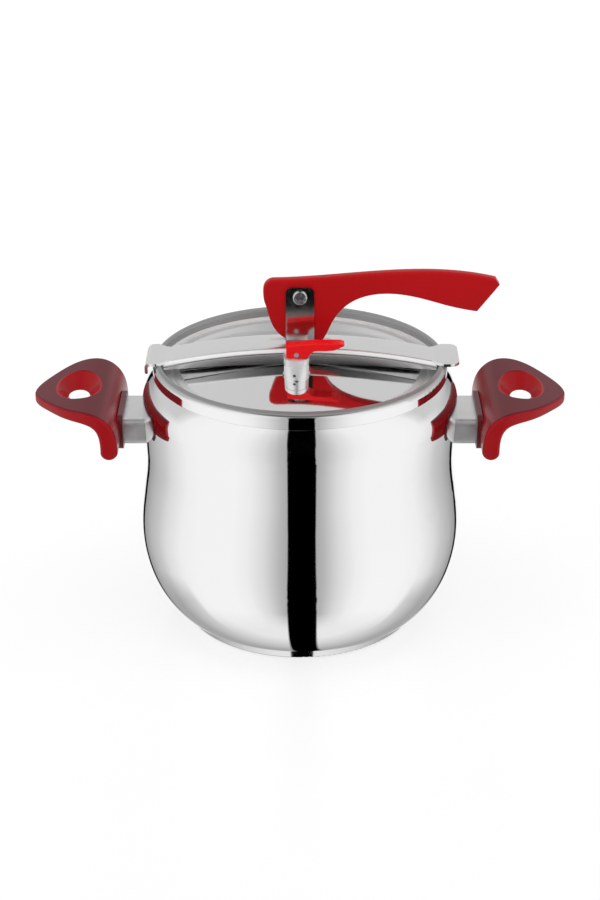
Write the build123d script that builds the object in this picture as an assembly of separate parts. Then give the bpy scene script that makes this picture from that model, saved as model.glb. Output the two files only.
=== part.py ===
from build123d import *
from math import cos, hypot, pi, radians, sin, sqrt, tan
import os

# Pressure cooker with an inside lid: the lid is drawn up against the underside of the
# rim by a cam lever that presses on a bow lying across the mouth.
# X runs from the left handle to the right one, -Y faces the valve, Z is up.
# The origin is the middle of the base, on the table. All sizes are millimetres.

# Pot shell
rim_radius = 110.0
rim_top = 207.0
rim_band = 10.0
rim_round = 4.4
mouth_round = 1.4
lip_depth = 5.5
lip_side = 6.0
lip_front = 10.0
crease = 1.0
wall = 1.2
shoulder_height = 23.0
shoulder_overhang = 8.6
waist_draw = 1.5
waist_z = 124.5
belly_swell = 12.0
belly_z = 75.2
bowl_draw = 4.0
bowl_z = 43.5
heel_draw = 18.15
heel_z = 16.0
floor_draw = 29.0
floor_lean = 14.0

# Layered base
base_height = 8.0
base_taper = 3.6
base_skin = 0.8
base_round = 1.6

# Lid and its gasket
lid_rise = 0.4
lid_sheet = 1.5
lid_plateau = 15.5
dome_depth = 14.6
dome_bulge = 1.15
dome_stretch = 1.36
trough_wall = 8.0
trough_round = 2.5
seal_side = 2.5
seal_front = 3.0
seal_gap = 0.3
gasket_height = 2.4
gasket_width = 4.0
flange_width = 10.0
seat_rim = 1.2

# Bow across the mouth
bow_sheet = 2.2
bow_rise = 13.0
bow_landing = 10.0
bow_overhang = 8.0
bow_hook_gap = 2.8
bow_hook_drop = 6.5
bow_hook_round = 4.2
bow_width = 33.0
bow_end_width = 40.0
bow_end_corner = 7.0
bow_hook_corner = 11.0
bow_edge_round = 4.5
bow_flange = 12.1
bow_flange_gap = 3.0
bow_flange_fall = 4.8
bow_flare = 10.0
groove_length = 52.0
groove_width = 13.3
groove_depth = 1.2
groove_lean = 45.0

# Column that carries the lever, bolted to the lid
column_width = 21.0
cheek = 1.4
cheek_corner = 4.5
cheek_play = 0.25
slot_play = 0.5
pivot_height = 48.7
pivot_margin = 7.8
column_web = 2.0
column_bolt_diameter = 5.0
column_head_height = 4.0
column_head_width = 8.0
column_stud = 11.0
seal_washer_height = 1.5
seal_washer_radius = 9.0
nut_height = 5.0
nut_width = 13.0
hole_play = 0.1

# Pivot of the main lever
pivot_diameter = 8.0
pivot_play = 0.05
bush_wall = 1.2
rivet_head_diameter = 10.4
rivet_head_height = 1.4
socket_width = 6.4
socket_depth = 0.7
washer_radius = 5.2
washer_height = 0.5
pivot_nut_height = 4.0

# Main lever, outline seen from the front and measured from its pivot
lever_thickness = 8.6
lever_soft = 1.8
lever_nose = 27.1
lever_nose_top = 4.9
lever_brow = 19.1
lever_brow_top = 12.9
lever_neck_top = 15.0
lever_neck = 18.8
lever_crest = 75.0
lever_crest_top = 19.2
lever_end = 143.4
lever_end_top = 13.7
lever_tip = 146.4
lever_tip_top = 9.2
lever_heel = 130.7
lever_heel_drop = 12.3
lever_waist = 101.5
lever_waist_drop = 4.7
lever_arch = 63.0
lever_arch_rise = 2.5
lever_throat = 37.5
lever_throat_drop = 4.3
lever_shin = 24.0
lever_shin_drop = 19.4
cam_gap = 0.3
cam_start = 7.0
cam_end = 14.0
cam_side = 18.3
cam_side_rise = 5.6
cam_back = 12.0
cam_back_rise = 4.6
cam_cheek = 20.4
cam_cheek_drop = 22.7
cam_temple = 25.1
cam_temple_drop = 7.7
cam_lift = 0.15
facet_start = 31.9
facet_ridge_drop = 3.0
facet_ridge_end = 12.4
facet_cut = 2.8
recess_width = 15.8
recess_depth = 0.3
recess_top = 10.4

# Steam valve on the lid, in front of the bow
valve_x = -2.6
valve_y = -29.7
valve_radius = 9.1
valve_height = 14.5
valve_sink = 2.8
valve_top_wall = 3.2
valve_bore = 5.6
valve_groove = 0.4
valve_groove_drop = 4.3
valve_groove_height = 0.6
vent_diameter = 2.4
vent_height = 3.0
vent_count = 3
vent_turn = -100.0
valve_shank_radius = 6.8
valve_shank = 13.0
valve_nut_width = 19.0
valve_nut_height = 5.0
valve_ring_height = 1.4
stem_radius = 2.9
stem_play = 0.05
stem_margin = 2.2
collar_radius = 5.0
collar_height = 1.6
disc_height = 2.6
disc_radius = 4.8
seat_land = 1.5
seat_radius = 3.4

# Spring in the steam valve
spring_wire = 0.8
spring_radius = 4.0
spring_turns = 6
spring_end_gap = 0.3
spring_samples = 24

# Small lever on top of the steam valve
cap_gap = 0.6
cap_thickness = 9.4
cap_left = 7.5
cap_right = 8.7
cap_height = 9.5
cap_corner = 2.0
tab_shoulder = 12.2
tab_top = 11.4
tab_reach = 34.9
tab_low = 5.7
tab_throat = 15.2
tab_under = 27.5
tab_tip_rise = 3.9
tab_tip_drop = 1.1
tab_tip_back = 2.6
tab_facet_start = 21.0
tab_facet_cut = 2.6
tab_bevel = 0.6
yoke_width = 6.0
yoke_play = 0.3
pin_height = 2.8
pin_radius = 1.8
pin_play = 0.05
pin_length = 10.2

# Safety valve behind the column
safety_y = 42.0
safety_sink = 4.2
safety_radius = 6.5
safety_height = 7.0
safety_shank_radius = 4.8
safety_shank = 9.0
safety_vent = 3.0
safety_round = 1.5

# Side handles and the brackets that carry them
bracket_width = 51.0
bracket_height = 20.3
bracket_z = 157.5
bracket_drop = 1.6
bracket_wall = 1.4
bracket_standoff = 13.4
bracket_root = 15.0
bracket_end_plate = 3.0
bracket_corner = 5.0
insert_thickness = 3.9
insert_width = 55.0
insert_height = 27.5
insert_sink = 2.0
insert_corner = 6.0
ear_reach = 65.1
ear_tip_top = 21.5
ear_tip_bottom = 13.8
ear_crown_back = 29.5
ear_crown_top = 26.9
ear_crown_bottom = 18.2
ear_bend = 14.6
ear_bend_top = 24.5
ear_bend_bottom = 13.5
ear_bend_under = 16.8
apron_knee = 4.2
apron_knee_top = 15.2
apron_thickness = 12.6
apron_low = 11.0
apron_straight = 5.0
ear_half_width = 55.0
ear_half_width_root = 53.0
ear_widest = 14.6
ear_side_back = 34.5
ear_side_width = 51.0
ear_cheek_back = 11.5
ear_cheek_width = 27.0
ear_soft = 2.2
ear_tip_slope = 0.2
ear_root_slope = 0.2
thumb_back = 33.0
thumb_long = 9.9
thumb_wide = 7.8
funnel_long = 27.0
funnel_wide = 17.5
screw_radius = 3.0
screw_head_radius = 5.5
screw_head_height = 3.2
screw_tail = 8.5
screw_sink = 5.0
screw_nut_width = 10.0
screw_nut_height = 5.0

# Length of a cut that passes right through, and how closely an edge is picked by its place
through = 60.0
pick = 0.01
bevel_margin = 1.0

# Values that follow from the sizes above
crease_z = rim_top - rim_band
lip_under = rim_top - lip_depth
ridge_z = crease_z - shoulder_height
ridge_radius = rim_radius + shoulder_overhang
waist_radius = ridge_radius - waist_draw
belly_radius = rim_radius + belly_swell
bowl_radius = belly_radius - bowl_draw
heel_radius = belly_radius - heel_draw
floor_radius = belly_radius - floor_draw
neck_radius = rim_radius - crease
mouth_long = rim_radius - lip_side
mouth_short = rim_radius - lip_front
lid_long = mouth_long + seal_side
lid_short = mouth_short + seal_front
lid_top = rim_top + lid_rise
lid_under = lid_top - lid_sheet
gasket_top = lip_under - seal_gap
flange_top = gasket_top - gasket_height
dome_foot = lid_top - dome_depth
lid_low = dome_foot - trough_wall
valve_seat = lid_top - valve_sink
valve_under = valve_seat - lid_sheet
safety_seat = lid_top - safety_sink
safety_under = safety_seat - lid_sheet
bow_top = rim_top + bow_rise
bow_end_top = rim_top + bow_sheet
bow_half_span = rim_radius - bow_landing
bow_reach = rim_radius + bow_overhang
bow_hook_reach = rim_radius + bow_hook_gap + bow_sheet
bow_flange_reach = mouth_long - bow_flange_gap
bow_radius = (bow_half_span ** 2 + (bow_top - bow_end_top) ** 2) / (2 * (bow_top - bow_end_top))
bow_flange_low = bow_top - bow_flange
pivot_z = lid_top + pivot_height
column_gap = lever_thickness + 2 * cheek_play
cheek_outer = column_gap / 2 + cheek
groove_floor = bow_top - groove_depth
cam_depth = pivot_z - groove_floor - cam_gap
bush_radius = pivot_diameter / 2 + pivot_play + bush_wall
valve_top = valve_seat + valve_height
valve_shank_low = valve_seat - valve_shank
cap_low = valve_top + cap_gap
pin_z = cap_low + pin_height
stem_rise = pin_radius + stem_margin
yoke_round = hypot(stem_radius, stem_rise) + yoke_play
spring_top = valve_top - valve_top_wall - spring_end_gap
collar_top = valve_shank_low + seat_land + disc_height + collar_height
spring_low = collar_top + spring_end_gap
bracket_start = waist_radius - bracket_root
bracket_end = ridge_radius + bracket_standoff
root_x = bracket_end + insert_thickness - insert_sink
screw_seat = root_x + apron_thickness - screw_sink
ear_crown = ear_reach - ear_crown_back
ear_side = ear_reach - ear_side_back
ear_cheek = ear_reach - ear_cheek_back
thumb_x = ear_reach - thumb_back


def point(x, z):
    """A point given by its place seen from the front."""
    return Vector(x, 0, z)


def face_of(*edges):
    """A flat face inside a closed run of edges."""
    return make_face(edges)


def disc(radius, low, high):
    """An upright cylinder on the pot's axis, between two heights."""
    return Pos(0, 0, (low + high) / 2) * Cylinder(radius, high - low)


def oval(long, short, low, high):
    """An upright oval block on the pot's axis, between two heights."""
    return extrude(Pos(0, 0, low) * Ellipse(long, short), high - low)


def hexagon(width, low, high):
    """An upright hexagonal prism, its width across the flats."""
    return extrude(Pos(0, 0, low) * RegularPolygon(width / 2, 6, major_radius=False), high - low)


def slab(face, half_width):
    """A face in the front plane, thickened evenly to both sides."""
    return extrude(face, half_width, both=True)


def at_valve(shape):
    """Moves a shape from the pot's axis to the steam valve's axis."""
    return Pos(valve_x, valve_y, 0) * shape


def side_points(inset):
    """Points up the pot's side from the base to the ridge, moved in by a wall thickness."""
    outline = [
        (floor_radius, base_height),
        (heel_radius, heel_z),
        (bowl_radius, bowl_z),
        (belly_radius, belly_z),
        (waist_radius, waist_z),
        (ridge_radius, ridge_z),
    ]
    moved = [point(floor_radius - inset * tan(radians(floor_lean) / 2), base_height + inset)]
    for below, here, above in zip(outline, outline[1:], outline[2:]):
        run = above[0] - below[0]
        rise = above[1] - below[1]
        length = hypot(run, rise)
        moved.append(point(here[0] - inset * rise / length, here[1] + inset * run / length))
    moved.append(point(ridge_radius - inset, ridge_z))
    return moved


def pot_section(inset, upper_points):
    """Half section of the pot's side, closed along the given points down to the axis."""
    points = side_points(inset)
    lean = radians(floor_lean)
    headings = [(cos(lean), 0, sin(lean)), (0, 0, 1)]
    side = Spline(*points, tangents=headings, tangent_scalars=[1, 1])
    crease_point = point(neck_radius - inset, crease_z)
    neck = TangentArc(points[-1], crease_point, tangent=(0, 0, 1))
    floor_point = point(0, base_height + inset)
    closing = Polyline(crease_point, *upper_points, floor_point, points[0])
    return face_of(side, neck, closing)


def pot_outside():
    """The pot's outside as one block, filled to the top of the rim."""
    upper = [point(rim_radius, crease_z), point(rim_radius, rim_top), point(0, rim_top)]
    block = revolve(pot_section(0.0, upper), Axis.Z)
    top_edge = block.edges().filter_by(GeomType.CIRCLE).group_by(Axis.Z)[-1]
    return fillet(top_edge, rim_round)


def pot_body(outside):
    """Drawn steel pot with an inward lip round its oval mouth."""
    upper = [point(neck_radius - wall, lip_under), point(0, lip_under)]
    inside = revolve(pot_section(wall, upper), Axis.Z)
    mouth = oval(mouth_long, mouth_short, lip_under - wall, rim_top + wall)
    pot = outside - inside - mouth
    rim_edges = pot.edges().filter_by_position(Axis.Z, rim_top - pick, rim_top + pick)
    mouth_edge = rim_edges.sort_by(lambda edge: edge.length)[0]
    return fillet(mouth_edge, mouth_round)


def base_block(skin):
    """The base disc, tapering to its foot, drawn in by a skin thickness."""
    foot_radius = floor_radius - base_taper - skin
    top_radius = floor_radius - skin
    outline = Polyline(
        point(0, skin),
        point(foot_radius, skin),
        point(top_radius, base_height),
        point(0, base_height),
        close=True,
    )
    return revolve(make_face(outline), Axis.Z)


def base_cap():
    """Thin steel cap pressed over the heat-spreading disc."""
    block = base_block(0.0)
    foot_edge = block.edges().filter_by(GeomType.CIRCLE).group_by(Axis.Z)[0]
    return fillet(foot_edge, base_round) - base_core()


def base_core():
    """Heat-spreading disc inside the cap."""
    block = base_block(base_skin)
    foot_edge = block.edges().filter_by(GeomType.CIRCLE).group_by(Axis.Z)[0]
    return fillet(foot_edge, base_round - base_skin)


def oval_loft(long_low, short_low, low, long_high, short_high, high):
    """A block between a lower and an upper oval."""
    lower = Pos(0, 0, low) * Ellipse(long_low, short_low)
    upper = Pos(0, 0, high) * Ellipse(long_high, short_high)
    return loft([lower, upper])


def lid_form():
    """Everything below the lid's upper face: a long dome, a trough round it and the gasket's flange."""
    inner_long = lid_long - flange_width
    inner_short = lid_short - flange_width
    crown = point(lid_plateau, lid_top)
    foot = point(inner_short, dome_foot)
    middle = (crown + foot) * 0.5 + Vector(0, 0, dome_bulge)
    rest = Polyline(foot, point(inner_short, lid_low), point(0, lid_low), point(0, lid_top), crown)
    dome = revolve(face_of(ThreePointArc(crown, middle, foot), rest), Axis.Z)
    cup = oval_loft(
        inner_long - trough_wall, inner_short - trough_wall, dome_foot, inner_long, inner_short, flange_top
    )
    cup += oval(inner_long, inner_short, flange_top, lid_top)
    form = oval(lid_long, lid_short, lid_low, flange_top) - cup
    form += scale(dome, by=(dome_stretch, 1, 1)) & cup
    creases = form.edges().filter_by_position(Axis.Z, dome_foot + pick, flange_top - pick)
    return fillet(creases.sort_by(SortBy.LENGTH)[-1], trough_round)


def lid_plate():
    """Pressed oval lid with flat seats for its two valves."""
    upper = lid_form()
    lower = Pos(0, 0, -lid_sheet) * upper
    lowest = lid_low - lid_sheet
    seats = [
        (Pos(valve_x, valve_y, 0), valve_radius + seat_rim, valve_seat, valve_shank_radius),
        (Pos(0, safety_y, 0), safety_radius + seat_rim, safety_seat, safety_shank_radius),
    ]
    for place, radius, seat, _ in seats:
        upper -= place * disc(radius, seat, lid_top)
        upper += place * disc(radius, lid_low, seat)
        lower -= place * disc(radius + lid_sheet, seat - lid_sheet, lid_top)
        lower += place * disc(radius, lowest, seat - lid_sheet)
    lid = upper - lower
    for place, _, seat, shank in seats:
        lid -= place * disc(shank + hole_play, lowest, seat)
    return lid - disc(column_bolt_diameter / 2 + hole_play, lowest, lid_top)


def lid_gasket():
    """Sealing ring on the lid's flange, under the pot's lip."""
    ring = oval(lid_long, lid_short, flange_top, gasket_top)
    return ring - oval(lid_long - gasket_width, lid_short - gasket_width, flange_top, gasket_top)


def bow_arch(depth, half_span):
    """Arched line of the bow, a depth below its top face."""
    drop = bow_radius - sqrt(bow_radius ** 2 - half_span ** 2)
    ends_z = bow_top - drop - depth
    return ThreePointArc(point(-half_span, ends_z), point(0, bow_top - depth), point(half_span, ends_z))


def bow_channel(depth, half_width, low, edge_round):
    """A solid arch, rounded along its upper edges, with a lower edge that falls towards its ends."""
    half = bow_flange_reach
    arch = bow_arch(depth, half)
    end_low = low - bow_flange_fall
    under = ThreePointArc(point(half, end_low), point(0, low), point(-half, end_low))
    block = slab(face_of(arch, Line(arch @ 1, under @ 0), under, Line(under @ 1, arch @ 0)), half_width)
    upper = block.edges().filter_by(GeomType.CIRCLE).group_by(Axis.Z)[-1]
    return fillet(upper, edge_round)


def end_plan(corner):
    """Plan of one flared end of the bow, at the right."""
    span = bow_flange_reach - bow_flare / 2
    narrow = bow_width / 2 - bow_edge_round
    wide = bow_end_width / 2
    plan = make_face(
        Polyline(
            (span - bow_flare, -narrow),
            (span, -narrow),
            (span + bow_flare, -wide),
            (bow_reach, -wide),
            (bow_reach, wide),
            (span + bow_flare, wide),
            (span, narrow),
            (span - bow_flare, narrow),
            close=True,
        )
    )
    corners = plan.vertices().filter_by_position(Axis.X, bow_reach - pick, bow_reach + pick)
    return fillet(corners, corner)


def bow_ends():
    """Flat, flared plates by which the bow lies on the rim."""
    low = rim_top - 2 * bow_hook_drop
    arch_high = bow_arch(0.0, bow_half_span)
    arch_low = bow_arch(bow_sheet, bow_half_span)
    inner_x = bow_sheet - bow_hook_reach
    hook_z = rim_top - bow_hook_drop
    flat = Polyline(arch_high @ 1, point(bow_reach, bow_end_top), point(bow_reach, rim_top), arch_low @ 1)
    hook = FilletPolyline(
        arch_low @ 0,
        point(inner_x, rim_top),
        point(inner_x, hook_z),
        point(-bow_hook_reach, hook_z),
        point(-bow_hook_reach, bow_end_top),
        arch_high @ 0,
        radius=[bow_hook_round - bow_sheet, 0, 0, bow_hook_round],
    )
    strip = slab(face_of(arch_high, flat, arch_low, hook), bow_end_width / 2)
    right_end = extrude(Pos(0, 0, low) * end_plan(bow_end_corner), bow_top - low)
    left_end = extrude(Pos(0, 0, low) * end_plan(bow_hook_corner), bow_top - low)
    return strip & (right_end + mirror(left_end, about=Plane.YZ))


def cheek_slots():
    """Slots in the bow that the two cheeks of the column pass through."""
    slot = Box(column_width + 2 * slot_play, cheek + 2 * slot_play, through)
    place = cheek_outer - cheek / 2
    return Pos(0, place, bow_top) * slot + Pos(0, -place, bow_top) * slot


def bow_bar():
    """Pressed steel bow with rolled edges, two slots and a stiffening groove."""
    outer = bow_channel(0.0, bow_width / 2, bow_flange_low, bow_edge_round)
    inner = bow_channel(
        bow_sheet, bow_width / 2 - bow_sheet, bow_flange_low - bow_sheet, bow_edge_round - bow_sheet
    )
    groove = Pos(0, 0, bow_top) * SlotOverall(groove_length, groove_width)
    bow = outer - inner + bow_ends()
    bow -= extrude(groove, -groove_depth, taper=groove_lean)
    return bow - cheek_slots()


def column_bracket():
    """U-shaped strap: a web bolted to the lid and two upright cheeks for the lever."""
    top = pivot_z + pivot_margin
    height = top - lid_top
    strap = Pos(0, 0, lid_top + height / 2) * Box(column_width, 2 * cheek_outer, height)
    upright = strap.edges().filter_by(Axis.Y).group_by(Axis.Z)[-1]
    strap = fillet(upright, cheek_corner)
    gap = Box(column_width, column_gap, height)
    strap -= Pos(0, 0, lid_top + column_web + height / 2) * gap
    bore = Rot(90, 0, 0) * Cylinder(pivot_diameter / 2 + pivot_play, 2 * cheek_outer)
    strap -= Pos(0, 0, pivot_z) * bore
    return strap - disc(column_bolt_diameter / 2 + hole_play, lid_top, lid_top + column_web)


def column_bolt():
    """Bolt that ties the column's web to the lid."""
    seat = lid_top + column_web
    shank = disc(column_bolt_diameter / 2, lid_under - column_stud, seat)
    return shank + hexagon(column_head_width, seat, seat + column_head_height)


def column_seal():
    """Sealing washer under the lid, on the column's bolt."""
    ring = disc(seal_washer_radius, lid_under - seal_washer_height, lid_under)
    return ring - disc(column_bolt_diameter / 2, lid_under - seal_washer_height, lid_under)


def column_nut():
    """Nut that draws the column's bolt tight from inside the lid."""
    high = lid_under - seal_washer_height
    nut = hexagon(nut_width, high - nut_height, high)
    return nut - disc(column_bolt_diameter / 2, high - nut_height, high)


def along_pivot(shape):
    """Turns an upright shape so that its top points at the viewer, at the lever's pivot."""
    return Pos(0, 0, pivot_z) * Rot(90, 0, 0) * shape


def pivot_bolt():
    """Pin of the main lever, with a round head at the front."""
    seat = cheek_outer + washer_height
    tail = seat + pivot_nut_height
    head = disc(rivet_head_diameter / 2, seat, seat + rivet_head_height)
    head = fillet(head.edges().filter_by(GeomType.CIRCLE).group_by(Axis.Z)[-1], rivet_head_height / 2)
    socket = hexagon(socket_width, seat + rivet_head_height - socket_depth, seat + rivet_head_height)
    return along_pivot(disc(pivot_diameter / 2, -tail, seat) + head - socket)


def pivot_washers():
    """Two washers outside the cheeks."""
    ring = disc(washer_radius, cheek_outer, cheek_outer + washer_height)
    ring -= disc(pivot_diameter / 2, cheek_outer, cheek_outer + washer_height)
    return along_pivot(Compound([ring, mirror(ring, about=Plane.XY)]))


def pivot_nut():
    """Nut at the back of the lever's pin."""
    seat = -cheek_outer - washer_height
    nut = hexagon(nut_width, seat - pivot_nut_height, seat)
    return along_pivot(nut - disc(pivot_diameter / 2, seat - pivot_nut_height, seat))


def lever_point(x, z):
    """A point of the lever's outline, measured from its pivot."""
    return point(x, pivot_z + z)


def lever_outline():
    """The lever's outline: cam at the left, hand grip reaching to the right."""
    brow = lever_point(-lever_brow, lever_brow_top)
    end = lever_point(lever_end, lever_end_top)
    tip = lever_point(lever_tip, lever_tip_top)
    heel = lever_point(lever_heel, -lever_heel_drop)
    cam_low = lever_point(cam_end, -cam_depth)
    cam_first = lever_point(cam_start, -cam_depth)
    nose = lever_point(-lever_nose, lever_nose_top)
    top = Spline(
        brow,
        lever_point(lever_neck, lever_neck_top),
        lever_point(lever_crest, lever_crest_top),
        end,
    )
    under = Spline(
        heel,
        lever_point(lever_waist, -lever_waist_drop),
        lever_point(lever_arch, lever_arch_rise),
        lever_point(lever_throat, -lever_throat_drop),
        lever_point(lever_shin, -lever_shin_drop),
        lever_point(cam_side, cam_side_rise - cam_depth),
        cam_low,
    )
    back = Spline(
        cam_first,
        lever_point(-cam_back, cam_back_rise - cam_depth),
        lever_point(-cam_cheek, -cam_cheek_drop),
        lever_point(-cam_temple, -cam_temple_drop),
        nose,
        tangents=[(-1, 0, cam_lift), (0, 0, 1)],
    )
    end_line = Polyline(end, tip, heel)
    corner = TangentArc(nose, brow, tangent=(0, 0, 1))
    return face_of(top, end_line, under, Line(cam_low, cam_first), back, corner)


def end_facet(solid):
    """Cuts the slanted facets at both sides of the grip's end."""
    half = lever_thickness / 2
    start = lever_point(lever_tip - facet_start, -facet_ridge_drop) - Vector(0, half, 0)
    ridge_end = lever_point(lever_end, facet_ridge_end) - Vector(0, half, 0)
    heel = lever_point(lever_heel, -lever_heel_drop) - Vector(0, half - facet_cut, 0)
    normal = (ridge_end - start).cross(heel - start).normalized()
    cut = Plane(start, x_dir=ridge_end - start, z_dir=normal)
    for _ in ("front", "back"):
        solid = split(solid, bisect_by=cut, keep=Keep.TOP)
        solid = mirror(solid, about=Plane.XZ)
    return solid


def main_lever():
    """Moulded lever with a bore for its bush and shallow recesses above the cheeks."""
    half = lever_thickness / 2
    lever = slab(lever_outline(), half)
    rims = lever.edges().filter_by(Plane.XZ)
    nose_z = pivot_z + lever_nose_top
    crest_z = pivot_z + lever_crest_top
    upper = rims.filter_by_position(Axis.Z, nose_z - bevel_margin, crest_z + bevel_margin)
    upper = upper.filter_by_position(Axis.X, -lever_nose - bevel_margin, lever_end - bevel_margin)
    lever = fillet(upper, lever_soft)
    lever = end_facet(lever)
    recess = Pos(0, half, pivot_z) * Box(recess_width, 2 * recess_depth, 2 * recess_top)
    lever -= recess
    lever -= mirror(recess, about=Plane.XZ)
    return lever - along_pivot(Cylinder(bush_radius, lever_thickness))


def lever_bush():
    """Steel bush pressed into the lever, turning on the pivot pin."""
    bush = Cylinder(bush_radius, lever_thickness)
    return along_pivot(bush - Cylinder(pivot_diameter / 2 + pivot_play, lever_thickness))


def valve_body():
    """Hollow valve housing through the lid, with steam vents just above it."""
    body = disc(valve_radius, valve_seat, valve_top)
    groove_top = valve_top - valve_groove_drop
    body -= disc(valve_radius, groove_top - valve_groove_height, groove_top)
    body += disc(valve_radius - valve_groove, valve_seat, valve_top)
    body += disc(valve_shank_radius, valve_shank_low, valve_seat)
    body -= disc(valve_bore, valve_shank_low + seat_land, valve_top - valve_top_wall)
    body -= disc(seat_radius, valve_shank_low, valve_shank_low + seat_land)
    body -= disc(stem_radius + stem_play, valve_top - valve_top_wall, valve_top)
    vent = Cylinder(vent_diameter / 2, through, align=(Align.CENTER, Align.CENTER, Align.MIN))
    vent = Pos(0, 0, valve_seat + vent_height) * Rot(0, 90, 0) * vent
    for turn in range(vent_count):
        body -= Rot(0, 0, vent_turn + turn * 360 / vent_count) * vent
    return at_valve(body)


def valve_ring():
    """Sealing ring under the lid, on the valve's shank."""
    low = valve_under - valve_ring_height
    ring = disc(valve_nut_width / 2, low, valve_under) - disc(valve_shank_radius, low, valve_under)
    return at_valve(ring)


def valve_nut():
    """Nut that holds the valve from inside the lid."""
    high = valve_under - valve_ring_height
    nut = hexagon(valve_nut_width, high - valve_nut_height, high)
    return at_valve(nut - disc(valve_shank_radius, high - valve_nut_height, high))


def valve_stem():
    """Rod through the valve with a collar that the spring presses on."""
    collar_low = collar_top - collar_height
    stem = disc(stem_radius, collar_low, pin_z + stem_rise)
    stem += disc(collar_radius, collar_low, collar_top)
    bore = Rot(90, 0, 0) * Cylinder(pin_radius + pin_play, through)
    return at_valve(stem - Pos(0, 0, pin_z) * bore)


def valve_disc():
    """Rubber disc that closes the valve's seat."""
    low = collar_top - collar_height - disc_height
    return at_valve(disc(disc_radius, low, low + disc_height))


def helix_point(turn):
    """A point of the spring's centre line after so many turns."""
    rise = spring_top - spring_low - spring_wire
    height = spring_low + spring_wire / 2 + rise * turn / spring_turns
    return Vector(spring_radius * cos(2 * pi * turn), spring_radius * sin(2 * pi * turn), height)


def helix_heading(turn):
    """The direction of the spring's centre line after so many turns."""
    rise = spring_top - spring_low - spring_wire
    climb = rise / spring_turns / (2 * pi)
    heading = Vector(-spring_radius * sin(2 * pi * turn), spring_radius * cos(2 * pi * turn), climb)
    return heading.normalized()


def biarc(start, start_heading, end, end_heading):
    """Two arcs that leave one point and reach another along the given headings."""
    chord = end - start
    both = start_heading + end_heading
    bend = 2 * (1 - start_heading.dot(end_heading))
    reach = (sqrt(chord.dot(both) ** 2 + bend * chord.dot(chord)) - chord.dot(both)) / bend
    middle = (start + end + (start_heading - end_heading) * reach) * 0.5
    middle_heading = (end - start - both * (reach / 2)).normalized()
    return [
        Edge.make_tangent_arc(start, start_heading, middle),
        Edge.make_tangent_arc(middle, middle_heading, end),
    ]


def spring_gap():
    """Least gap between the spring's turns, measured between points of its centre line."""
    points = [helix_point(step / spring_samples) for step in range(spring_turns * spring_samples + 1)]
    half_turn = spring_samples // 2
    least = min(
        (there - here).length
        for place, here in enumerate(points)
        for there in points[place + half_turn :]
    )
    return least - spring_wire


def valve_spring():
    """Coil spring that holds the valve shut, one unbroken wire."""
    edges = []
    quarters = spring_turns * 4
    for quarter in range(quarters):
        here = quarter / 4
        there = (quarter + 1) / 4
        edges += biarc(helix_point(here), helix_heading(here), helix_point(there), helix_heading(there))
    path = Wire(edges)
    section = Plane(helix_point(0), z_dir=helix_heading(0)) * Circle(spring_wire / 2)
    print("spring: least gap between turns", round(spring_gap(), 2), "mm")
    return at_valve(sweep(section, path=path))


def cap_point(x, z):
    """A point of the valve lever's side outline, measured from the cap's underside."""
    return point(x, cap_low + z)


def valve_lever_side():
    """Side outline of the valve lever: a foot over the valve, a hollow throat and a tab."""
    corner_start = cap_point(cap_corner - cap_left, 0)
    corner_end = cap_point(-cap_left, cap_corner)
    foot = cap_point(cap_right, 0)
    shin = cap_point(cap_right, cap_corner / 2)
    throat = cap_point(tab_throat, tab_low)
    tip_low = cap_point(tab_under, tab_low)
    tip = cap_point(tab_reach, tab_low + tab_tip_rise)
    tip_high = cap_point(tab_reach, tab_top - tab_tip_drop)
    tip_top = cap_point(tab_reach - tab_tip_back, tab_top)
    shoulder = cap_point(tab_shoulder, tab_top)
    cap_top = cap_point(-cap_left, cap_height)
    rounding = TangentArc(corner_start, corner_end, tangent=(-1, 0, 0))
    hollow = TangentArc(throat, shin, tangent=(-1, 0, 0))
    outline = Polyline(throat, tip_low, tip, tip_high, tip_top, shoulder, cap_top, corner_end)
    return face_of(rounding, outline, hollow, Polyline(shin, foot, corner_start))


def yoke():
    """Room for the stem inside the valve lever, open below and to the left."""
    room = Rot(90, 0, 0) * Cylinder(yoke_round, yoke_width)
    below = Box(
        through,
        yoke_width,
        yoke_round + pin_height,
        align=(Align.MAX, Align.CENTER, Align.MAX),
    )
    return Pos(0, 0, pin_z) * room + Pos(stem_radius + yoke_play, 0, pin_z + yoke_round) * below


def tab_facets(solid):
    """Cuts the slanted facets under both sides of the tab's end."""
    half = cap_thickness / 2
    start = cap_point(tab_facet_start, tab_low) - Vector(0, half, 0)
    end = cap_point(tab_reach, tab_top - tab_tip_drop) - Vector(0, half, 0)
    under = cap_point(tab_reach, tab_low) - Vector(0, half - tab_facet_cut, 0)
    normal = (end - start).cross(under - start).normalized()
    cut = Plane(start, x_dir=end - start, z_dir=normal)
    for _ in ("front", "back"):
        solid = split(solid, bisect_by=cut, keep=Keep.TOP)
        solid = mirror(solid, about=Plane.XZ)
    return solid


def valve_lever():
    """Bar with a finger tab; turning it up lifts the stem."""
    lever = slab(valve_lever_side(), cap_thickness / 2)
    rims = lever.edges().filter_by(Plane.XZ)
    shoulder_z = cap_low + cap_height
    top_z = cap_low + tab_top
    upper = rims.filter_by_position(Axis.Z, shoulder_z - bevel_margin, top_z + bevel_margin)
    upper = upper.filter_by_position(Axis.X, -cap_left - bevel_margin, tab_reach - bevel_margin)
    lever = tab_facets(chamfer(upper, tab_bevel))
    bore = Pos(0, 0, pin_z) * Rot(90, 0, 0) * Cylinder(pin_radius, cap_thickness)
    return at_valve(lever - yoke() - bore)


def valve_pin():
    """Cross pin through the valve lever and the stem."""
    return at_valve(Pos(0, 0, pin_z) * Rot(90, 0, 0) * Cylinder(pin_radius, pin_length))


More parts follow.
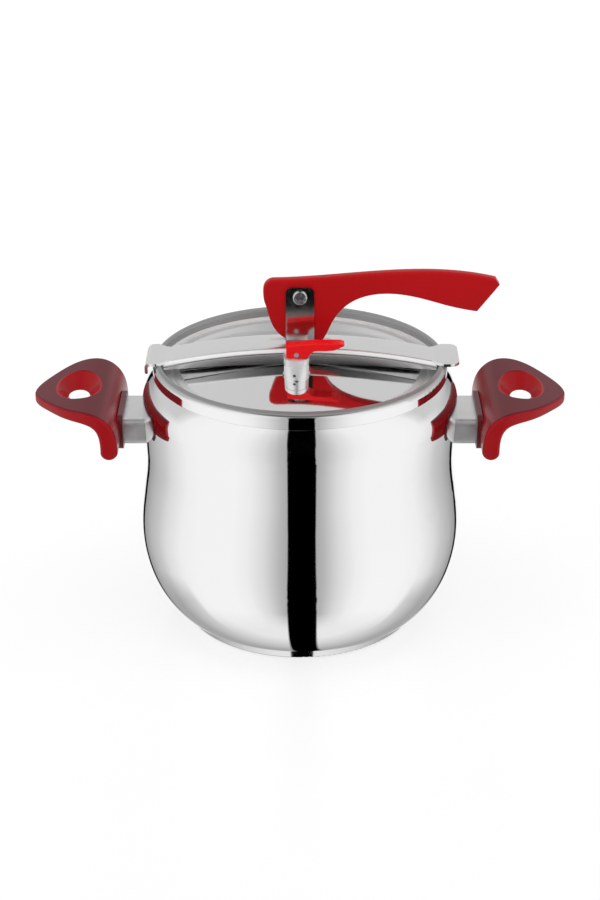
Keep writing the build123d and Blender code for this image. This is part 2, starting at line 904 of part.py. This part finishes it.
def safety_valve():
    """Spare pressure release behind the column."""
    body = disc(safety_radius, safety_seat, safety_seat + safety_height)
    body = fillet(body.edges().filter_by(GeomType.CIRCLE).group_by(Axis.Z)[-1], safety_round)
    body += disc(safety_shank_radius, safety_under - safety_shank, safety_seat)
    body -= disc(safety_vent / 2, safety_under - safety_shank, safety_seat + safety_height)
    return Pos(0, safety_y, 0) * body


def safety_nut():
    """Nut of the safety valve, inside the lid."""
    nut = hexagon(nut_width, safety_under - nut_height, safety_under)
    return Pos(0, safety_y, 0) * (nut - disc(safety_shank_radius, safety_under - nut_height, safety_under))


def bracket_section(width, height, corner, x):
    """A rounded rectangle facing along X, a little below the handle's screw."""
    plane = Plane((x, 0, bracket_z - bracket_drop), x_dir=(0, 1, 0), z_dir=(1, 0, 0))
    return plane * RectangleRounded(width, height, corner)


def screw_hole():
    """A clear hole for the handle's screw, along X."""
    return Pos(bracket_end, 0, bracket_z) * Rot(0, 90, 0) * Cylinder(screw_radius + hole_play, through)


def collar_block():
    """The collar between bracket and handle as a plain block."""
    section = bracket_section(insert_width, insert_height, insert_corner, bracket_end)
    return extrude(section, insert_thickness)


def bracket(outside):
    """Flat steel tube welded to the pot's wall, closed by a plate at the handle."""
    inner_width = bracket_width - 2 * bracket_wall
    inner_height = bracket_height - 2 * bracket_wall
    length = bracket_end - bracket_start
    outer = bracket_section(bracket_width, bracket_height, bracket_corner, bracket_start)
    inner = bracket_section(inner_width, inner_height, bracket_corner - bracket_wall, bracket_start)
    block = extrude(outer, length) - outside
    return block - extrude(inner, length - bracket_end_plate) - screw_hole()


def handle_insert():
    """Collar between the bracket and the handle."""
    return collar_block() - screw_hole()


def ear_point(x, z):
    """A point of the handle's side outline, measured from its root at the bracket."""
    return point(root_x + x, bracket_z + z)


def handle_profile():
    """Side outline of the handle: an ear that bends down into an apron at its root."""
    tip_high = ear_point(ear_reach + ear_soft, ear_tip_top)
    tip_low = ear_point(ear_reach + ear_soft, ear_tip_bottom)
    root_straight = ear_point(0, apron_straight - apron_low)
    under_straight = ear_point(apron_thickness, apron_straight - apron_low)
    upper = Spline(
        tip_high,
        ear_point(ear_crown, ear_crown_top),
        ear_point(ear_bend, ear_bend_top),
        ear_point(apron_knee, apron_knee_top),
        root_straight,
        tangents=[(-1, 0, ear_tip_slope), (0, 0, -1)],
        tangent_scalars=[1, 1],
    )
    lower = Spline(
        under_straight,
        ear_point(ear_bend_under, ear_bend_bottom),
        ear_point(ear_crown, ear_crown_bottom),
        tip_low,
        tangents=[(0, 0, 1), (1, 0, -ear_tip_slope)],
        tangent_scalars=[1, 1],
    )
    toe = ThreePointArc(root_straight, ear_point(apron_thickness / 2, -apron_low), under_straight)
    return face_of(upper, toe, lower, Line(tip_low, tip_high))


def handle_plan():
    """Outline of the handle seen from above."""
    tip = (root_x + ear_reach, 0)
    near = Spline(
        tip,
        (root_x + ear_cheek, ear_cheek_width),
        (root_x + ear_side, ear_side_width),
        (root_x + ear_widest, ear_half_width),
        (root_x - ear_soft, ear_half_width_root),
        tangents=[(0, 1), (-1, -ear_root_slope)],
        tangent_scalars=[1, 1],
    )
    far = mirror(near, about=Plane.XZ)
    return face_of(near, Line(near @ 1, far @ 1), far)


def handle():
    """Moulded ear with a thumb hole in a funnel-shaped dish."""
    ear = slab(handle_profile(), ear_half_width + ear_soft)
    ear &= extrude(handle_plan(), rim_top)
    ear = fillet(ear.edges(), ear_soft)
    crown_low = bracket_z + ear_crown_bottom
    crown_high = bracket_z + ear_crown_top
    funnel = oval_loft(thumb_wide, thumb_long, crown_low, funnel_wide, funnel_long, crown_high)
    funnel += oval(thumb_wide, thumb_long, crown_low - apron_thickness, crown_low)
    funnel += oval(funnel_wide, funnel_long, crown_high, crown_high + apron_thickness)
    ear -= Pos(root_x + thumb_x, 0, 0) * funnel
    head = Cylinder(
        screw_head_radius + hole_play,
        apron_thickness,
        align=(Align.CENTER, Align.CENTER, Align.MIN),
    )
    seat = Pos(screw_seat, 0, bracket_z) * Rot(0, 90, 0)
    return ear - collar_block() - screw_hole() - seat * head


def handle_screw():
    """Screw from the apron's far side into the bracket."""
    length = screw_seat - bracket_end + screw_tail
    shank = Cylinder(screw_radius, length, align=(Align.CENTER, Align.CENTER, Align.MAX))
    head = Cylinder(screw_head_radius, screw_head_height, align=(Align.CENTER, Align.CENTER, Align.MIN))
    return Pos(screw_seat, 0, bracket_z) * Rot(0, 90, 0) * (shank + head)


def handle_nut():
    """Nut of the handle's screw, inside the bracket."""
    nut = hexagon(screw_nut_width, -screw_nut_height, 0) - disc(screw_radius, -screw_nut_height, 0)
    return Pos(bracket_end - bracket_end_plate, 0, bracket_z) * Rot(0, 90, 0) * nut


def both_sides(solid):
    """A solid and its mirror image on the pot's other side, as one group."""
    return Compound([solid, mirror(solid, about=Plane.YZ)])


def left(solid):
    """The mirror image of a right-hand solid."""
    return mirror(solid, about=Plane.YZ)


os.makedirs("parts", exist_ok=True)
outside = pot_outside()
right_bracket = bracket(outside)
right_handle = handle()
nodes = {
    "pot_body": pot_body(outside),
    "base_core": base_core(),
    "base_cap": base_cap(),
    "bow_bar": bow_bar(),
    "lid_plate": lid_plate(),
    "lid_gasket": lid_gasket(),
    "column_bracket": column_bracket(),
    "column_bolt": column_bolt(),
    "column_seal": column_seal(),
    "column_nut": column_nut(),
    "pivot_bolt": pivot_bolt(),
    "pivot_washers": pivot_washers(),
    "pivot_nut": pivot_nut(),
    "main_lever": main_lever(),
    "lever_bush": lever_bush(),
    "valve_body": valve_body(),
    "valve_ring": valve_ring(),
    "valve_nut": valve_nut(),
    "valve_stem": valve_stem(),
    "valve_disc": valve_disc(),
    "valve_spring": valve_spring(),
    "valve_lever": valve_lever(),
    "valve_pin": valve_pin(),
    "safety_valve": safety_valve(),
    "safety_nut": safety_nut(),
    "right_bracket": right_bracket,
    "left_bracket": left(right_bracket),
    "right_handle_insert": handle_insert(),
    "left_handle_insert": left(handle_insert()),
    "right_handle": right_handle,
    "left_handle": left(right_handle),
    "handle_screws": both_sides(handle_screw()),
    "handle_nuts": both_sides(handle_nut()),
}
for name, shape in nodes.items():
    export_step(shape, f"parts/{name}.step")
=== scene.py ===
import math

import bpy
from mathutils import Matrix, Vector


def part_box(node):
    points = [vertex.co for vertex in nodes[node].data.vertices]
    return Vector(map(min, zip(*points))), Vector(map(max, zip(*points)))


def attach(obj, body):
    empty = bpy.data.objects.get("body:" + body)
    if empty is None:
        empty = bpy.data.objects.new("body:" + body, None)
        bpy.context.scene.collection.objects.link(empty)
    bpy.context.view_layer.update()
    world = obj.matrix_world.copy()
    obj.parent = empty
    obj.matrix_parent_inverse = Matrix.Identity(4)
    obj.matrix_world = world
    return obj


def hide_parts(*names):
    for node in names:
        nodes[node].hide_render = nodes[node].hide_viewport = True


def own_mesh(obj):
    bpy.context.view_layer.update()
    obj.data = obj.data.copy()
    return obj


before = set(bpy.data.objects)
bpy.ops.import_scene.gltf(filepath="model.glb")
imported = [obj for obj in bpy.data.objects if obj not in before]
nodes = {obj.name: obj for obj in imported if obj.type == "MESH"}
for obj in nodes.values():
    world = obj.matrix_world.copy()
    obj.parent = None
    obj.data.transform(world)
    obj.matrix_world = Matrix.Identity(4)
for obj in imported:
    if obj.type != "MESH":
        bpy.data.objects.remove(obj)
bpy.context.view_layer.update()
scene = bpy.context.scene
scene.view_settings.view_transform = "Standard"

# Parts of a piece with a look of their own, in metres: an oval's middle along X, half width and half length,
# and for the pot's mouth, which takes a painted shade, also the height above which it counts
FUNNEL = (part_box("right_handle")[1][0] - 0.033, 0.0175, 0.027)
LID_INNER = (0.0, 0.0915, 0.0845)
MOUTH = (0.0, 0.1105, 0.1095, 0.2)
OVAL_EDGE = 0.97
HEIGHT_STEP = 0.001

# How far a face looks up, as the height of its normal, where a look starts and where it is full
# Faces that look up take the painted top shade between these heights
TOP_FACING = (0.45, 0.9)
# Faces that look down take the painted under shade between these heights
UNDER_FACING = (-0.4, -0.6)
FLAT_FACING = (0.85, 0.97)
# Where the painted highlight band on the bow starts and ends
BAND_START = (0.2, 0.4)
BAND_END = (0.75, 0.95)

# Surface grain
NOISE_RANGE = (0.3, 0.7)
NOISE_DETAIL = 3.0
ROUGH_GRAIN = 3
BUMP_DEPTH = 0.0002
LIP_ROUGH = 0.5

# Rounded edges, in metres
LEVER_EDGE = 0.0005
VALVE_EDGE = 0.0004
JOIN_DISTANCE = 0.00001
EDGE_SEGMENTS = 3
SHARP_ANGLE = math.radians(40.0)

# Spring of the valve, in metres
WIRE_RADIUS = 0.0004
COILS = 6
STEPS_A_COIL = 40
WIRE_SIDES = 10

# Floor and lamp, in metres and watts
FLOOR_HALF = 6.0
FLOOR_GLOW = 0.72
LAMP_SIDE = 1.6
LAMP_PLACE = (0.0, -0.1, 1.9)
LAMP_POWER = 6.0

# White panels round the part: angle from the camera's side in degrees, and brightness
PANELS = (
    (0, 0.45), (10, 0.46), (15, 0.53), (26, 0.8), (38, 0.98), (50, 1.04), (77, 1.04), (92, 1.0), (110, 0.81),
    (120, 0.65), (133, 0.53), (146, 0.39), (150, 0.35), (151, 0.0), (157, 0.0), (159, 1.0), (180, 1.0),
)
HALF_TURN = 180

# Directions below are parts of a unit direction: how far it goes across, away from the camera and up

# Dark gap between the panels: its half width at the camera's side and at the back, its shift and soft edge,
# and where it is closed
GAP_ENDS = (-0.906, 0.906)
GAP_HALF_WIDTHS = (0.157, 0.001)
GAP_SHIFT = 0.02
GAP_BLUR = 0.012
GAP_CLOSED_AWAY = (0.25, 0.35)
GAP_CLOSED_UP = (-0.5, -0.4)
GAP_CLOSED_OVERHEAD = (0.85, 0.92)

# High panel at the back
BACK_HIGH_TONE = 0.68
BACK_HIGH_AWAY = (0.0, 0.2)
BACK_HIGH_UP = (0.05, 0.25)

# Sky overhead
OVERHEAD_TONE = 0.12
OVERHEAD_UP = (0.9, 0.96)

# Ground, brighter near the camera, which starts higher at the back
GROUND_TONES = (0.92, 0.42)
GROUND_AWAY = (-0.15, 0.45)
GROUND_UP = (-0.75, -0.92)
GROUND_BACK_AWAY = (0.0, 0.1)
GROUND_BACK_UP = (-0.55, -0.7)

# Brightness of the soft light from the camera's side and from the back
SOFT_LIGHT = (1.3, 0.5)

# Camera at the photograph's angle, in metres, degrees and millimetres
CAMERA_PLACE = (0.0, -1.404, 0.786)
CAMERA_FALL = 25.04
LENS = 81.3
SENSOR = 36.0


def add(tree, kind, **settings):
    """A shader node with its properties and unlinked inputs set by name."""
    made = tree.nodes.new(kind)
    for key, value in settings.items():
        if hasattr(made, key):
            setattr(made, key, value)
        else:
            made.inputs[key].default_value = value
    return made


def slide(tree, value, start, end, low=0.0, high=1.0):
    """A number that goes from low to high as a value goes from start to end."""
    limits = {"From Min": start, "From Max": end, "To Min": low, "To Max": high}
    made = add(tree, "ShaderNodeMapRange", **limits)
    tree.links.new(value, made.inputs["Value"])
    return made.outputs[0]


def sums(tree, operation, first, second=None):
    """A number worked out from numbers or outputs."""
    made = add(tree, "ShaderNodeMath", operation=operation)
    for socket, value in zip(made.inputs, (first, second)):
        if isinstance(value, float):
            socket.default_value = value
        elif value:
            tree.links.new(value, socket)
    return made.outputs[0]


def ramp(tree, factor, stops):
    """A colour ramp through grey stops given as (place, value)."""
    made = tree.nodes.new("ShaderNodeValToRGB")
    elements = made.color_ramp.elements
    while len(elements) < len(stops):
        elements.new(0.5)
    for element, (place, value) in zip(elements, stops):
        element.position = place
        element.color = (value, value, value, 1.0)
    tree.links.new(factor, made.inputs[0])
    return made.outputs[0]


def noise(tree, vector, scale, stretch=None):
    """A noise value, with its pattern stretched along the axes if asked."""
    if stretch:
        mapping = add(tree, "ShaderNodeMapping", Scale=stretch)
        tree.links.new(vector, mapping.inputs["Vector"])
        vector = mapping.outputs[0]
    made = add(tree, "ShaderNodeTexNoise", Scale=scale, Detail=NOISE_DETAIL)
    tree.links.new(vector, made.inputs["Vector"])
    return made.outputs[0]


def spread(tree, value, low, high):
    """A noise value spread between a low and a high number."""
    return slide(tree, value, *NOISE_RANGE, low, high)


def axes(tree, kind):
    """The three parts of a texture coordinate."""
    parts = tree.nodes.new("ShaderNodeSeparateXYZ")
    tree.links.new(tree.nodes.new("ShaderNodeTexCoord").outputs[kind], parts.inputs[0])
    return parts.outputs


def facing_up(tree, low, high):
    """A value that turns from 0 to 1 as the height of the surface's normal goes from low to high."""
    return slide(tree, axes(tree, "Normal")[2], low, high)


def blend_colours(tree, factor, first, second):
    """A colour between two, each a plain colour or another node's output."""
    mix = add(tree, "ShaderNodeMix", data_type="RGBA")
    tree.links.new(factor, mix.inputs[0])
    for socket, colour in ((mix.inputs[6], first), (mix.inputs[7], second)):
        if isinstance(colour, tuple):
            socket.default_value = (*colour, 1.0)
        else:
            tree.links.new(colour, socket)
    return mix.outputs[2]


def blend_values(tree, factor, first, second):
    """A value between two, each a plain number or another node's output."""
    mix = add(tree, "ShaderNodeMix")
    tree.links.new(factor, mix.inputs[0])
    for socket, value in ((mix.inputs[2], first), (mix.inputs[3], second)):
        if isinstance(value, float):
            socket.default_value = value
        else:
            tree.links.new(value, socket)
    return mix.outputs[0]


def in_oval(tree, middle, wide, long, above=None):
    """A value that is 1 inside an upright oval and its mirror image in X, above a height if asked."""
    along, over, height = axes(tree, "Object")
    place = tree.nodes.new("ShaderNodeCombineXYZ")
    tree.links.new(sums(tree, "ABSOLUTE", along), place.inputs[0])
    tree.links.new(over, place.inputs[1])
    size = (1 / wide, 1 / long, 0.0)
    mapping = add(tree, "ShaderNodeMapping", Scale=size, Location=(-middle / wide, 0.0, 0.0))
    tree.links.new(place.outputs[0], mapping.inputs["Vector"])
    distance = add(tree, "ShaderNodeVectorMath", operation="LENGTH")
    tree.links.new(mapping.outputs[0], distance.inputs[0])
    inside = slide(tree, distance.outputs["Value"], 1.0, OVAL_EDGE)
    if above is None:
        return inside
    return sums(tree, "MULTIPLY", inside, slide(tree, height, above, above + HEIGHT_STEP))


def finish_material(
    name, light, dark, rough, grain, stretch=None, bump=0.02, bump_scale=900.0,
    painted_top_shade=None, top_rough=None, painted_under_shade=None, dish=None, painted_mouth_shade=None, plain_edge=None, painted_highlight_band=None, **sockets
):
    """A material that varies a little over the piece, with other looks on some of its faces if asked:
    painted shade on faces that look up or down and in the pot's mouth, and a painted highlight band of lower
    metal.
    """
    made = bpy.data.materials.new(name)
    made.use_nodes = True
    tree = made.node_tree
    shader = tree.nodes["Principled BSDF"]
    place = tree.nodes.new("ShaderNodeTexCoord").outputs["Object"]
    tone = spread(tree, noise(tree, place, grain, stretch), 0.0, 1.0)
    colour = blend_colours(tree, tone, dark, light)
    roughness = spread(tree, noise(tree, place, grain * ROUGH_GRAIN, stretch), *rough)
    # Painted shade: faces that look up are darkened
    if painted_top_shade:
        colour = blend_colours(tree, facing_up(tree, *TOP_FACING), colour, painted_top_shade)
    # Painted shade: faces that look down are darkened
    if painted_under_shade:
        colour = blend_colours(tree, facing_up(tree, *UNDER_FACING), colour, painted_under_shade)
    # The funnel's dish takes a plain red, which leaves the painted top shade off it
    if dish:
        colour = blend_colours(tree, in_oval(tree, *FUNNEL), colour, dish)
    # Painted shade: the pot's mouth and inner lip are darkened, and made rougher
    if painted_mouth_shade:
        mouth = in_oval(tree, *MOUTH)
        colour = blend_colours(tree, mouth, colour, painted_mouth_shade)
        roughness = blend_values(tree, mouth, roughness, LIP_ROUGH)
    if plain_edge:
        roughness = blend_values(tree, in_oval(tree, *LID_INNER), plain_edge, roughness)
    # Painted highlight: faces that look partly up lose most of their metal, so their pale colour shows as a
    # bright band
    if painted_highlight_band:
        lower = blend_values(tree, facing_up(tree, *BAND_START), 1.0, painted_highlight_band)
        metal = blend_values(tree, facing_up(tree, *BAND_END), lower, 1.0)
        tree.links.new(metal, shader.inputs["Metallic"])
    if top_rough:
        roughness = blend_values(tree, facing_up(tree, *FLAT_FACING), roughness, top_rough)
    tree.links.new(colour, shader.inputs["Base Color"])
    tree.links.new(roughness, shader.inputs["Roughness"])
    height = add(tree, "ShaderNodeBump", Strength=bump, Distance=BUMP_DEPTH)
    tree.links.new(noise(tree, place, bump_scale, stretch), height.inputs["Height"])
    tree.links.new(height.outputs[0], shader.inputs["Normal"])
    for key, value in sockets.items():
        shader.inputs[key.replace("_", " ")].default_value = value
    return made


def grey(value):
    """A grey of one brightness."""
    return (value, value, value)


def dress(material, *names):
    """Gives CAD nodes a material."""
    for name in names:
        data = nodes[name].data
        data.materials.clear()
        data.materials.append(material)


def soften(width, *names):
    """Narrow rounded edges on CAD nodes, as modifiers."""
    for name in names:
        nodes[name].modifiers.new("joined", "WELD").merge_threshold = JOIN_DISTANCE
        bevel = nodes[name].modifiers.new("soft_edges", "BEVEL")
        bevel.width = width
        bevel.segments = EDGE_SEGMENTS
        bevel.limit_method = "ANGLE"
        bevel.angle_limit = SHARP_ANGLE
        bevel.harden_normals = True


def put(name, data):
    """A new object in the scene."""
    made = bpy.data.objects.new(name, data)
    scene.collection.objects.link(made)
    return made


# Steels
# The pot's steel, with a painted shade darkening its mouth
polished = finish_material(
    "polished_steel", grey(0.87), grey(0.85), (0.02, 0.04), 6.0, bump=0.005, painted_mouth_shade=grey(0.4), Metallic=1.0
)
# The base's steel, with a painted shade on its faces that look down
base_steel = finish_material(
    "base_steel", grey(0.87), grey(0.85), (0.05, 0.08), 6.0, bump=0.005, painted_under_shade=grey(0.2), Metallic=1.0
)
lid_polish = finish_material(
    "lid_steel", grey(0.86), grey(0.83), (0.04, 0.06), 8.0, bump=0.01, plain_edge=0.5, Metallic=1.0
)
# The bow's steel, with a painted highlight band on its rounded edges
bow_steel = finish_material(
    "bow_steel", grey(0.85), grey(0.82), (0.14, 0.2), 30.0, stretch=(0.1, 1, 1), top_rough=0.3, painted_highlight_band=0.1
)
column_steel = finish_material(
    "column_steel", (0.7, 0.71, 0.7), (0.64, 0.65, 0.64), (0.1, 0.16), 60.0, Metallic=1.0
)
plain_steel = finish_material("bracket_steel", grey(0.8), grey(0.76), (0.36, 0.44), 40.0, Metallic=1.0)
fastener = finish_material(
    "fastener_steel", (0.74, 0.74, 0.75), (0.66, 0.66, 0.68), (0.18, 0.3), 120.0, Metallic=1.0
)
valve_steel = finish_material("valve_steel", grey(0.93), grey(0.9), (0.2, 0.26), 60.0, Metallic=0.55)
core = finish_material(
    "core_aluminium", (0.75, 0.75, 0.76), (0.7, 0.7, 0.71), (0.3, 0.4), 60.0, Metallic=1.0
)

# Seals
rubber = finish_material("seal_rubber", (0.3, 0.3, 0.31), (0.24, 0.24, 0.25), (0.5, 0.65), 80.0)
silicone = finish_material("seal_silicone", (0.88, 0.88, 0.87), (0.84, 0.84, 0.83), (0.4, 0.5), 60.0)

# Red mouldings
lever_red = finish_material(
    "lever_red", (0.42, 0.006, 0.008), (0.4, 0.005, 0.007), (0.22, 0.28), 8.0, Specular_IOR_Level=0.08
)
valve_red = finish_material(
    "valve_red", (0.78, 0.01, 0.013), (0.75, 0.009, 0.012), (0.25, 0.32), 20.0, Specular_IOR_Level=0.1
)
# The handles' red, with a painted shade on their top faces, left off in the funnel
handle_red = finish_material(
    "handle_red", (0.31, 0.006, 0.009), (0.29, 0.005, 0.008), (0.18, 0.24), 10.0,
    painted_top_shade=(0.11, 0.008, 0.014), dish=(0.32, 0.007, 0.01), Specular_IOR_Level=0.12,
)
collar_red = finish_material("collar_red", (0.12, 0.005, 0.01), (0.09, 0.004, 0.008), (0.3, 0.4), 60.0)

dress(polished, "pot_body")
dress(base_steel, "base_cap")
dress(valve_steel, "valve_body", "valve_stem", "safety_valve")
dress(lid_polish, "lid_plate")
dress(bow_steel, "bow_bar")
dress(column_steel, "column_bracket")
dress(plain_steel, "left_bracket", "right_bracket")
dress(
    fastener,
    "handle_screws", "handle_nuts", "column_bolt", "column_nut", "pivot_bolt", "pivot_washers", "pivot_nut",
    "lever_bush", "valve_nut", "valve_pin", "safety_nut", "valve_spring",
)
dress(core, "base_core")
dress(rubber, "column_seal", "valve_ring", "valve_disc")
dress(silicone, "lid_gasket")
dress(lever_red, "main_lever")
dress(valve_red, "valve_lever")
dress(handle_red, "left_handle", "right_handle")
dress(collar_red, "left_handle_insert", "right_handle_insert")
soften(VALVE_EDGE, "valve_lever")
soften(LEVER_EDGE, "main_lever", "left_handle_insert", "right_handle_insert")


def spring():
    """The valve's spring as one wire, carried with the lid."""
    low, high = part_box("valve_spring")
    middle = ((low[0] + high[0]) / 2, (low[1] + high[1]) / 2)
    radius = (high[0] - low[0]) / 2 - WIRE_RADIUS
    rise = high[2] - low[2] - 2 * WIRE_RADIUS
    steps = COILS * STEPS_A_COIL
    verts = []
    faces = []
    for step in range(steps + 1):
        turn = 2 * math.pi * step / STEPS_A_COIL
        height = low[2] + WIRE_RADIUS + rise * step / steps
        for corner in range(WIRE_SIDES):
            angle = 2 * math.pi * corner / WIRE_SIDES
            out = radius + WIRE_RADIUS * math.cos(angle)
            along = middle[0] + out * math.cos(turn)
            over = middle[1] + out * math.sin(turn)
            verts.append((along, over, height + WIRE_RADIUS * math.sin(angle)))
    for step in range(steps):
        for corner in range(WIRE_SIDES):
            here = step * WIRE_SIDES + corner
            beside = step * WIRE_SIDES + (corner + 1) % WIRE_SIDES
            faces.append((here, beside, beside + WIRE_SIDES, here + WIRE_SIDES))
    faces.append(tuple(range(WIRE_SIDES)))
    faces.append(tuple(range(steps * WIRE_SIDES, (steps + 1) * WIRE_SIDES)))
    mesh = bpy.data.meshes.new("valve_spring_wire")
    mesh.from_pydata(verts, [], faces)
    for face in mesh.polygons:
        face.use_smooth = True
    mesh.materials.append(fastener)
    made = put("valve_spring_wire", mesh)
    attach(made, "lid")
    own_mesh(made)
    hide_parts("valve_spring")


def pale_floor():
    """A plain pale floor, which the steel doesn't mirror."""
    signs = ((-1, -1), (1, -1), (1, 1), (-1, 1))
    corners = [(across * FLOOR_HALF, away * FLOOR_HALF, 0) for across, away in signs]
    mesh = bpy.data.meshes.new("floor")
    mesh.from_pydata(corners, [], [(0, 1, 2, 3)])
    mesh.materials.append(finish_material(
        "floor_white", grey(0.26), grey(0.24), (0.3, 0.4), 3.0, bump=0.0,
        Emission_Color=(1.0, 1.0, 1.0, 1.0), Emission_Strength=FLOOR_GLOW,
    ))
    floor = put("floor", mesh)
    floor.visible_glossy = False


def mirrored_light(tree):
    """What the steel mirrors: white panels all round, with a dark gap towards the camera."""
    across, away, up = axes(tree, "Generated")
    across = sums(tree, "SUBTRACT", across, GAP_SHIFT)
    turn = sums(tree, "ARCTAN2", across, sums(tree, "MULTIPLY", away, -1.0))
    turn = sums(tree, "DIVIDE", sums(tree, "ABSOLUTE", turn), math.pi)
    panels = ramp(tree, turn, [(place / HALF_TURN, value) for place, value in PANELS])

    # The gap, closed at the back, overhead and in the high panel
    half_width = slide(tree, away, *GAP_ENDS, *GAP_HALF_WIDTHS)
    outside = sums(tree, "SUBTRACT", sums(tree, "ABSOLUTE", across), half_width)
    gap = slide(tree, outside, 0.0, GAP_BLUR)
    back = sums(tree, "MULTIPLY", slide(tree, away, *GAP_CLOSED_AWAY), slide(tree, up, *GAP_CLOSED_UP))
    back_high = sums(tree, "MULTIPLY", slide(tree, away, *BACK_HIGH_AWAY), slide(tree, up, *BACK_HIGH_UP))
    for closed in (back, slide(tree, up, *GAP_CLOSED_OVERHEAD), back_high):
        gap = sums(tree, "MAXIMUM", gap, closed)

    # The ground, the high panel and the sky overhead
    beneath = sums(tree, "MULTIPLY", slide(tree, away, *GROUND_BACK_AWAY), slide(tree, up, *GROUND_BACK_UP))
    below = sums(tree, "MAXIMUM", slide(tree, up, *GROUND_UP), beneath)
    tone = blend_values(tree, below, panels, slide(tree, away, *GROUND_AWAY, *GROUND_TONES))
    tone = blend_values(tree, back_high, tone, BACK_HIGH_TONE)
    tone = blend_values(tree, slide(tree, up, *OVERHEAD_UP), tone, OVERHEAD_TONE)
    return sums(tree, "MULTIPLY", tone, gap)


def studio():
    """Soft light from all round, mirrored panels, and plain white for the camera."""
    world = bpy.data.worlds.new("studio")
    scene.world = world
    world.use_nodes = True
    tree = world.node_tree
    tree.nodes.clear()
    mirrored = add(tree, "ShaderNodeBackground", Strength=1.0)
    tree.links.new(mirrored_light(tree), mirrored.inputs[0])
    soft = add(tree, "ShaderNodeBackground", Strength=1.0)
    tree.links.new(slide(tree, axes(tree, "Generated")[1], -1.0, 1.0, *SOFT_LIGHT), soft.inputs[0])
    plain = add(tree, "ShaderNodeBackground", Strength=1.0)
    plain.inputs[0].default_value = (1.0, 1.0, 1.0, 1.0)
    path = tree.nodes.new("ShaderNodeLightPath")
    shaded = plain.outputs[0]
    for ray, light in (("Is Diffuse Ray", soft), ("Is Glossy Ray", mirrored)):
        chosen = tree.nodes.new("ShaderNodeMixShader")
        tree.links.new(path.outputs[ray], chosen.inputs[0])
        tree.links.new(shaded, chosen.inputs[1])
        tree.links.new(light.outputs[0], chosen.inputs[2])
        shaded = chosen.outputs[0]
    tree.links.new(shaded, tree.nodes.new("ShaderNodeOutputWorld").inputs[0])


def overhead_lamp():
    """A large soft lamp overhead, which the steel doesn't mirror."""
    lamp = bpy.data.lights.new("overhead", "AREA")
    lamp.shape = "RECTANGLE"
    lamp.size = LAMP_SIDE
    lamp.size_y = LAMP_SIDE
    lamp.energy = LAMP_POWER
    overhead = put("overhead", lamp)
    overhead.location = LAMP_PLACE
    overhead.visible_glossy = False


def photo_camera():
    """The camera at the photograph's angle."""
    lens = bpy.data.cameras.new("camera")
    lens.sensor_width = SENSOR
    lens.lens = LENS
    camera = put("camera", lens)
    camera.location = CAMERA_PLACE
    camera.rotation_euler = (math.radians(90.0 - CAMERA_FALL), 0.0, 0.0)
    scene.camera = camera


spring()
pale_floor()
studio()
overhead_lamp()
photo_camera()
